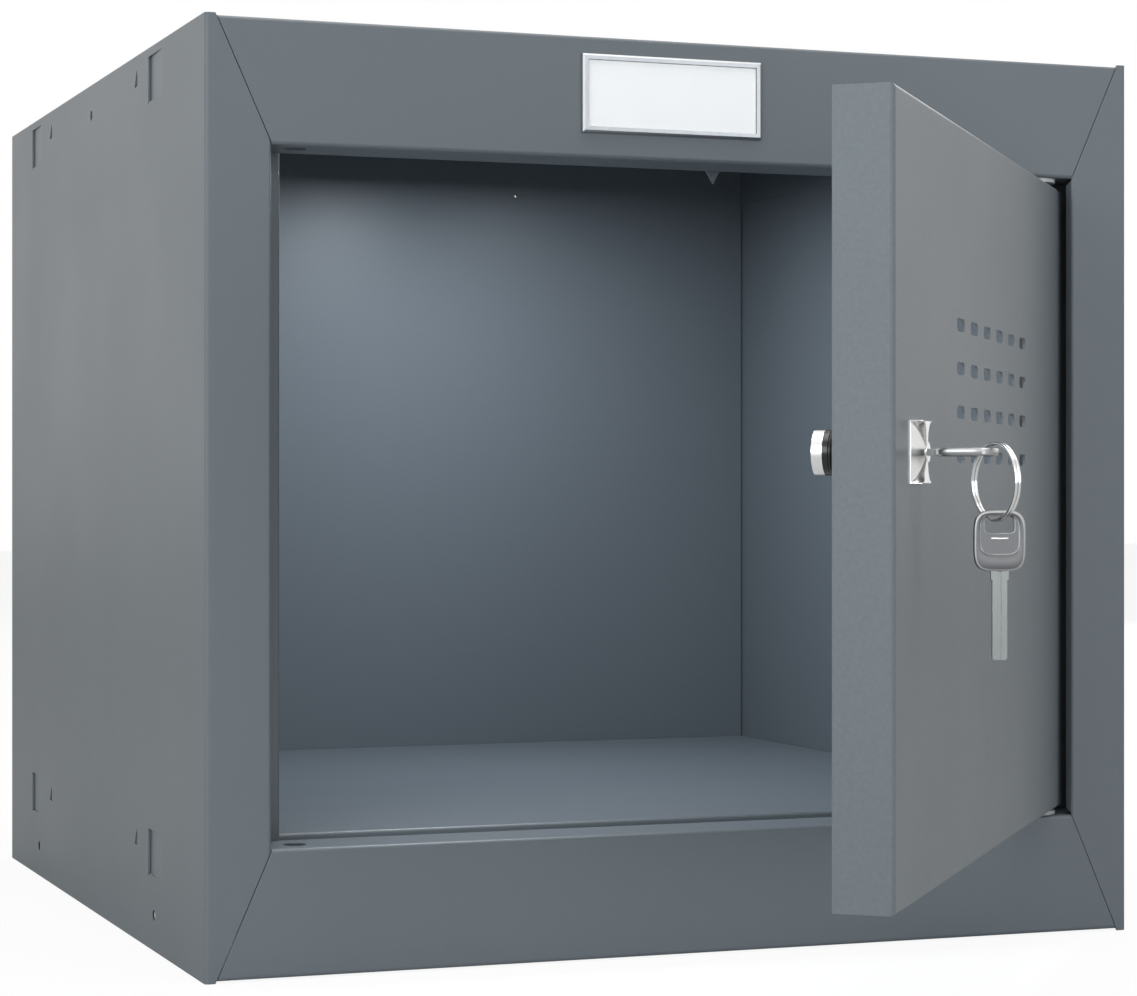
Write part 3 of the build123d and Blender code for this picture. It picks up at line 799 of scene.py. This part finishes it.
@dataclass
class CamLock:
    """The lock: scooped bezel, threaded barrel with its nut, keyed plug, cam and screw."""

    shop: Workshop
    bezel: BezelForm = BezelForm()
    plug: PlugForm = PlugForm()
    barrel: BarrelForm = BarrelForm()

    def build(self) -> None:
        """Dress the lock, and put the worked bezel, barrel and plug in the plain ones' place."""
        self.shop.dress("lock_cam", Finish.BRIGHT_CHROME)
        for node in ("lock_nut", "cam_screw"):
            self.shop.dress(node, Finish.ZINC_STEEL)
        self.stand_in("scooped_bezel", self.bezel, "door", "lock_bezel", Finish.BRIGHT_CHROME)
        self.stand_in("threaded_barrel", self.barrel, "door", "lock_barrel", Finish.BLACK_HOUSING)
        self.stand_in("keyed_plug", self.plug, "lock_core", "lock_plug", Finish.BRIGHT_CHROME)

    def stand_in(self, name: str, form: BezelForm | BarrelForm | PlugForm, body: str, node: str,
                 finish: Finish) -> None:
        """Build a piece round the lock's axis and let it ride on a body in place of a CAD node.

        Args:
            name: the piece's name.
            form: its sizes and its points.
            body: the body that carries it.
            node: the CAD node that it stands for, which gets the same finish.
            finish: which finish.
        """
        joint = self.shop.joint("lock_turn")
        axis = Axis(Vector(joint["pos_m"]), Vector(joint["axis"]).normalized())
        self.shop.dress(node, finish)
        piece = self.shop.add(name, form.points(axis), form.steps, finish, form.closed)
        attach(piece, body)
        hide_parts(node)


@dataclass(frozen=True)
class Oval:
    """A rounded rectangle as a squarish oval, measured down from the end of a key's bow."""

    half_width: float
    half_height: float
    drop: float
    power: float

    def at(self, angle: float, inset: float) -> Pair:
        """A point of the outline.

        Args:
            angle: direction round the middle.
            inset: how far inside the outline.

        Returns:
            Its sideways distance and its distance below the bow's end.
        """
        x, y = math.cos(angle), math.sin(angle)
        width, height = self.half_width - inset, self.half_height - inset
        reach = (abs(x / width) ** self.power + abs(y / height) ** self.power) ** (-1.0 / self.power)
        return x * reach, self.drop - y * reach


@dataclass(frozen=True)
class Seat:
    """Where a key's bow ends, and the key's own directions."""

    end: Vector
    side: Vector
    along: Vector
    normal: Vector

    def place(self, across: float, below: float, height: float) -> Vector:
        """Returns: the point so far across, below the bow's end and above the key's middle plane."""
        return self.end + self.side * across - self.along * below + self.normal * height


@dataclass(frozen=True)
class KeyForm:
    """A moulded key: bow with a raised rim, a sunk panel and a slot; blade with a groove in each face.

    The panel's bank and the bow's rounded edge are pairs: how far inside the outline, how far below the rim.
    The shoulder and the blade are a width and how far below the bow's end they stop. The groove is half its
    width and its depth.
    """

    bow: Oval = Oval(8.2 * MM, 9.7 * MM, 9.7 * MM, 4.2)
    panel: Oval = Oval(6.35 * MM, 6.4 * MM, 7.7 * MM, 4.0)
    slot: Oval = Oval(4.6 * MM, 2.7 * MM, 4.4 * MM, 6.0)
    half_thick: float = 1.3 * MM
    sunk: float = 0.45 * MM
    slot_break: float = 0.15 * MM
    panel_foot: float = 0.1 * MM
    bank: tuple[Pair, ...] = ((-0.25 * MM, 0.05 * MM), (-0.4 * MM, 0.0))
    rounded_edge: tuple[Pair, ...] = ((0.7 * MM, 0.0), (0.25 * MM, 0.12 * MM), (0.0, 0.5 * MM))
    steps: int = 72
    shoulder: Pair = (5.6 * MM, 22.0 * MM)
    blade: Pair = (4.7 * MM, 47.5 * MM)
    blade_root: float = 1.0 * MM
    blade_half_thick: float = 1.0 * MM
    groove: Pair = (0.45 * MM, 0.35 * MM)
    tip: float = 0.5 * MM

    @property
    def front(self) -> list[tuple[Oval, float, float]]:
        """Returns: the bow's front from the slot outwards, as outlines with their insets and heights."""
        floor = self.half_thick - self.sunk
        profile = [(self.slot, 0.0, floor - self.slot_break), (self.slot, -self.slot_break, floor),
                   (self.panel, self.panel_foot, floor)]
        profile += [(self.panel, inset, self.half_thick - drop) for inset, drop in self.bank]
        profile += [(self.bow, inset, self.half_thick - drop) for inset, drop in self.rounded_edge]
        return profile

    @property
    def rim_rings(self) -> range:
        """Returns: which rings of the bow's faces go round its outer edge."""
        first = len(self.front) - len(self.rounded_edge)
        return range(first, first + 2 * len(self.rounded_edge) - 1)

    def bow_points(self, seat: Seat) -> list[Vector]:
        """Every vertex of the bow, ring by ring: slot, front face, edge and rear face.

        Args:
            seat: where the key is.

        Returns:
            The points.
        """
        rear = [(oval, inset, -height) for oval, inset, height in reversed(self.front)]
        points = []
        for oval, inset, height in self.front + rear:
            for step in range(self.steps):
                across, below = oval.at(-2.0 * math.pi * step / self.steps, inset)
                points.append(seat.place(across, below, height))
        return points

    def section(self, width: float) -> list[Pair]:
        """Outline of the blade across its length, with a groove in each face.

        Args:
            width: the blade's width there.

        Returns:
            The corners.
        """
        half, (groove, depth), thick = width / 2.0, self.groove, self.blade_half_thick
        face = [(half, thick), (groove, thick), (groove, thick - depth), (-groove, thick - depth),
                (-groove, thick), (-half, thick)]
        return face + [(-x, -y) for x, y in face]

    def blade_points(self, seat: Seat) -> list[Vector]:
        """Every vertex of the blade, ring by ring from inside the bow to the tip.

        Args:
            seat: where the key is.

        Returns:
            The points.
        """
        bow_foot = self.bow.drop + self.bow.half_height
        (neck, neck_end), (width, end) = self.shoulder, self.blade
        rings = ((neck, bow_foot - self.blade_root), (neck, neck_end), (width, neck_end),
                 (width, end - self.tip), (width - 2.0 * self.tip, end))
        return [seat.place(x, below, y) for across, below in rings for x, y in self.section(across)]


@dataclass
class Keys:
    """The key in the lock, the ring and the spare key, each bow with a raised line under its slot.

    A raised line's levels are pairs: a share of its height and a share of its width.
    """

    shop: Workshop
    form: KeyForm = KeyForm()
    line_drop: float = 8.9 * MM
    line_size: Pair = (5.6 * MM, 0.6 * MM)
    line_height: float = 0.3 * MM
    line_levels: tuple[Pair, ...] = ((-0.2, 1.0), (0.55, 1.0), (0.85, 0.8), (1.0, 0.45))
    round_steps: int = 10
    search_degrees: int = 30

    def build(self) -> None:
        """Dress the keys and the ring, and put the moulded keys in the plain ones' place."""
        for node in ("key", "spare_key"):
            self.shop.dress(node, Finish.NICKEL_KEY)
        self.shop.dress("key_ring", Finish.RING_STEEL)
        out = Vector(self.shop.joint("key_slide")["axis"]).normalized()
        self.moulded_key("key", "inserted_key", out, UP)
        across = self.widest(self.shop.corners("spare_key"))
        self.moulded_key("spare_key", "spare", UP, across.cross(UP))

    def widest(self, corners: Sequence[Vector]) -> Vector:
        """Find the level direction in which a hanging key is widest.

        Args:
            corners: the key's vertices.

        Returns:
            The unit vector.
        """
        middle = sum(corners, Vector()) / len(corners)
        far = max(corners, key=lambda corner: (corner - middle).to_2d().length)
        away = far - middle
        best, span = Vector((1.0, 0.0, 0.0)), 0.0
        start = math.atan2(away.y, away.x)
        for degrees in range(-self.search_degrees, self.search_degrees + 1):
            angle = start + math.radians(degrees)
            line = Vector((math.cos(angle), math.sin(angle), 0.0))
            reach = [corner.dot(line) for corner in corners]
            if max(reach) - min(reach) > span:
                best, span = line, max(reach) - min(reach)
        return best

    def seat(self, node: str, along: Vector, normal: Vector) -> Seat:
        """Find where a key's bow ends.

        Args:
            node: the key's CAD node.
            along: unit vector from the key's tip to the end of its bow.
            normal: unit vector out of one face of the bow.

        Returns:
            The key's seat.
        """
        corners = self.shop.corners(node)
        side = along.cross(normal)
        end = along * max(corner.dot(along) for corner in corners)
        for line in (side, normal):
            reach = [corner.dot(line) for corner in corners]
            end += line * (max(reach) + min(reach)) / 2.0
        return Seat(end, side, along, normal)

    def moulded_key(self, node: str, body: str, along: Vector, normal: Vector) -> None:
        """Put a bow, a blade and a raised line on each face in a plain key's place.

        Args:
            node: the key's CAD node.
            body: the body that carries it.
            along: unit vector from the key's tip to the end of its bow.
            normal: unit vector out of one face of the bow.
        """
        seat, form = self.seat(node, along, normal), self.form
        bow = self.shop.add(node + "_bow", form.bow_points(seat), form.steps, Finish.NICKEL_BOW)
        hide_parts(node)
        # The rim faces take the brighter nickel: a painted highlight.
        self.paint_rim_highlight(bow)
        points, corners = form.blade_points(seat), len(form.section(form.blade[0]))
        blade = self.shop.add(node + "_blade", points, corners, Finish.NICKEL_KEY, closed=False)
        pieces = [bow, blade]
        for name, sign in (("front", 1.0), ("rear", -1.0)):
            floor = seat.place(0.0, self.line_drop, sign * (form.half_thick - form.sunk))
            face = normal * sign
            pieces.append(self.pill("%s_line_%s" % (node, name), floor, face.cross(along), along, face))
        for piece in pieces:
            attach(piece, body)

    def paint_rim_highlight(self, bow: bpy.types.Object) -> None:
        """Give the faces round a bow's edge a brighter copy of the nickel, a painted highlight on its rim.

        Args:
            bow: the bow, its faces in the order of its rings.
        """
        bow.data.materials.append(self.shop.material(Finish.PAINTED_RIM_HIGHLIGHT))
        for polygon in bow.data.polygons:
            if polygon.index // self.form.steps in self.form.rim_rings:
                polygon.material_index = 1

    def pill(self, name: str, floor: Vector, across: Vector, along: Vector,
             face: Vector) -> bpy.types.Object:
        """A low bar with round ends and a rounded top, in the ring's bright steel: a painted highlight on
        the key's raised line.

        Args:
            name: the piece's name.
            floor: the middle of its foot.
            across: unit vector along the bar.
            along: unit vector over its width.
            face: unit vector out of the bow.

        Returns:
            The piece.
        """
        length, width = self.line_size
        straight = (length - width) / 2.0
        points = []
        for height, share in self.line_levels:
            radius = width / 2.0 * share
            for middle, start in ((straight, -math.pi / 2.0), (-straight, math.pi / 2.0)):
                for step in range(self.round_steps):
                    angle = start + math.pi * step / (self.round_steps - 1)
                    points.append(floor + across * (middle + radius * math.cos(angle))
                                  + along * radius * math.sin(angle) + face * self.line_height * height)
        # The ring's bright steel on the raised line is a painted highlight; the line is part of the key.
        return self.shop.add(name, points, 2 * self.round_steps, Finish.RING_STEEL, closed=False)


@dataclass(frozen=True)
class PhotoCamera:
    """The camera that took the photograph, fitted to the cabinet's edges."""

    position: Point = (-462.85 * MM, -1246.54 * MM, 184.46 * MM)
    yaw: float = 19.808
    focal_pixels: float = 2855.19
    centre_pixels: Pair = (490.42, 494.31)
    sensor: float = 36.0
    clip: Pair = (0.01, 50.0)

    def build(self) -> bpy.types.Object:
        """Returns: the camera, made the scene's own."""
        data = bpy.data.cameras.new("camera")
        data.sensor_fit = "HORIZONTAL"
        data.sensor_width = self.sensor
        data.lens = self.sensor * self.focal_pixels / IMAGE_WIDTH
        data.shift_x = (IMAGE_WIDTH / 2 - self.centre_pixels[0]) / IMAGE_WIDTH
        data.shift_y = (self.centre_pixels[1] - IMAGE_HEIGHT / 2) / IMAGE_WIDTH
        data.clip_start, data.clip_end = self.clip
        camera = bpy.data.objects.new("camera", data)
        camera.location = self.position
        camera.rotation_euler = (math.radians(90.0), 0.0, math.radians(-self.yaw))
        bpy.context.scene.collection.objects.link(camera)
        bpy.context.scene.camera = camera
        LOG.info("camera: lens %.2f mm, shift %.4f, %.4f", data.lens, data.shift_x, data.shift_y)
        return camera


@dataclass(frozen=True)
class SoftBox:
    """One rectangular soft light aimed at a point."""

    name: str
    position: Point
    size: Pair
    power: float
    colour: Colour = (1.0, 1.0, 1.0)
    target: Point = LOCKER_MIDDLE

    def build(self) -> bpy.types.Object:
        """Returns: the light."""
        data = bpy.data.lights.new(self.name, "AREA")
        data.shape = "RECTANGLE"
        data.size, data.size_y = self.size
        data.energy = self.power
        data.color = self.colour
        light = bpy.data.objects.new(self.name, data)
        light.location = self.position
        aim = Vector(self.target) - Vector(self.position)
        light.rotation_euler = aim.to_track_quat("-Z", "Y").to_euler()
        light.visible_camera = False
        bpy.context.scene.collection.objects.link(light)
        return light


def roof_lamp(name: str, across: float, back: float, power: float, colour: Colour) -> SoftBox:
    """A small lamp just under the roof that shines down inside the locker.

    Args:
        name: the lamp's name.
        across: its place towards the hinge side.
        back: its place towards the back.
        power: its power.
        colour: its tint.

    Returns:
        The lamp.
    """
    height, side, lean = 349.5 * MM, 50.0 * MM, 0.1 * MM
    return SoftBox(name, (across, back, height), (side, side), power, colour, (across, back + lean, 0.0))


@dataclass(frozen=True)
class Studio:
    """White surroundings, a pale floor and the soft boxes."""

    floor_reflectance: float = 0.75
    floor_roughness: float = 0.9
    floor_shadow: float = 0.15
    floor_glow: float = 1.07
    floor_half: float = 8.0
    boxes: tuple[SoftBox, ...] = (
        SoftBox("overhead", (0.0, -0.4, 2.4), (2.2, 2.2), 44.2, (1.0, 0.99, 0.96)),
        SoftBox("left", (-2.4, -0.2, 0.5), (1.4, 0.9), 5.73, (1.0, 0.97, 0.98)),
        SoftBox("left_front", (-1.9, -1.7, 0.8), (1.2, 1.2), 18.0, (0.89, 0.97, 1.0)),
        SoftBox("high_front", (-0.6, -2.3, 1.0), (1.2, 0.8), 1.86, (0.96, 0.98, 1.0)),
        SoftBox("front", (-0.5, -2.4, 0.3), (1.2, 0.5), 5.58, (0.87, 0.92, 1.0)),
        SoftBox("right_front", (1.1, -2.1, 0.6), (1.0, 1.0), 5.82, (0.87, 0.94, 1.0)),
        SoftBox("rear_right", (1.6, 2.2, 1.0), (1.4, 1.4), 18.0, target=(0.0, 0.0, 0.18)),
        roof_lamp("inside_rear", -0.004, 0.049, 0.361, (0.85, 0.93, 1.0)),
        roof_lamp("inside_front", 0.0, -0.06, 0.443, (0.85, 0.91, 1.0)),
        roof_lamp("inside_right", 0.09, 0.06, 0.088, (0.89, 0.92, 1.0)),
    )

    def build(self) -> None:
        """Make the surroundings, the floor and the lights."""
        self.surroundings()
        self.floor()
        for box in self.boxes:
            box.build()
        LOG.info("studio: %d soft boxes", len(self.boxes))

    @staticmethod
    def seen_rays(tree: bpy.types.NodeTree, kinds: Sequence[str]) -> bpy.types.NodeSocket:
        """Tell the rays that should meet plain white from the rest.

        Args:
            tree: the node tree to add to.
            kinds: outputs of the Light Path node.

        Returns:
            A socket that is 1 for such rays.
        """
        path = tree.nodes.new("ShaderNodeLightPath")
        found = path.outputs[kinds[0]]
        for kind in kinds[1:]:
            either = tree.nodes.new("ShaderNodeMath")
            either.operation = "MAXIMUM"
            tree.links.new(found, either.inputs[0])
            tree.links.new(path.outputs[kind], either.inputs[1])
            found = either.outputs[0]
        return found

    def surroundings(self) -> None:
        """White to the camera, in reflections and through glass; the lamps alone light the object."""
        world = bpy.data.worlds.new("studio")
        world.use_nodes = True
        bpy.context.scene.world = world
        tree = world.node_tree
        tree.nodes.clear()
        seen = tree.nodes.new("ShaderNodeBackground")
        seen.inputs["Color"].default_value = WHITE
        output = tree.nodes.new("ShaderNodeOutputWorld")
        rays = self.seen_rays(tree, ("Is Camera Ray", "Is Glossy Ray", "Is Transmission Ray"))
        tree.links.new(rays, seen.inputs["Strength"])
        tree.links.new(seen.outputs["Background"], output.inputs["Surface"])

    def floor(self) -> None:
        """A wide pale floor, nearly white to the camera, that keeps a faint shadow."""
        mesh = bpy.data.meshes.new("floor")
        half = self.floor_half
        corners = [(-half, -half, 0.0), (half, -half, 0.0), (half, half, 0.0), (-half, half, 0.0)]
        mesh.from_pydata(corners, [], [(0, 1, 2, 3)])
        floor = bpy.data.objects.new("floor", mesh)
        bpy.context.scene.collection.objects.link(floor)
        graph = Graph("floor_white")
        shade = self.floor_reflectance
        graph.shader.inputs["Base Color"].default_value = (shade, shade, shade, 1.0)
        graph.shader.inputs["Roughness"].default_value = self.floor_roughness
        glow = graph.add("ShaderNodeEmission", Color=WHITE, Strength=self.floor_glow)
        share = graph.add("ShaderNodeMath", operation="MULTIPLY")
        graph.tree.links.new(self.seen_rays(graph.tree, ("Is Camera Ray",)), share.inputs[0])
        share.inputs[1].default_value = 1.0 - self.floor_shadow
        mix = graph.add("ShaderNodeMixShader")
        graph.link(share, 0, mix, "Fac")
        graph.link(graph.shader, "BSDF", mix, 1)
        graph.link(glow, "Emission", mix, 2)
        graph.link(mix, "Shader", graph.output, "Surface")
        floor.data.materials.append(graph.material)


def set_colour_handling() -> None:
    """Plain display colours, with nothing added."""
    bpy.context.scene.view_settings.view_transform = "Standard"


def main() -> None:
    """Build the dressed locker in its studio."""
    logging.basicConfig(level=logging.INFO, format="%(name)s: %(message)s")
    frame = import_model()
    set_colour_handling()
    PhotoCamera().build()
    Studio().build()
    shop = Workshop(frame)
    for assembly in (Cabinet, Badge, Door, CamLock, Keys):
        assembly(shop).build()
        LOG.info("built %s", assembly.__name__)


if __name__ == "__main__":
    main()
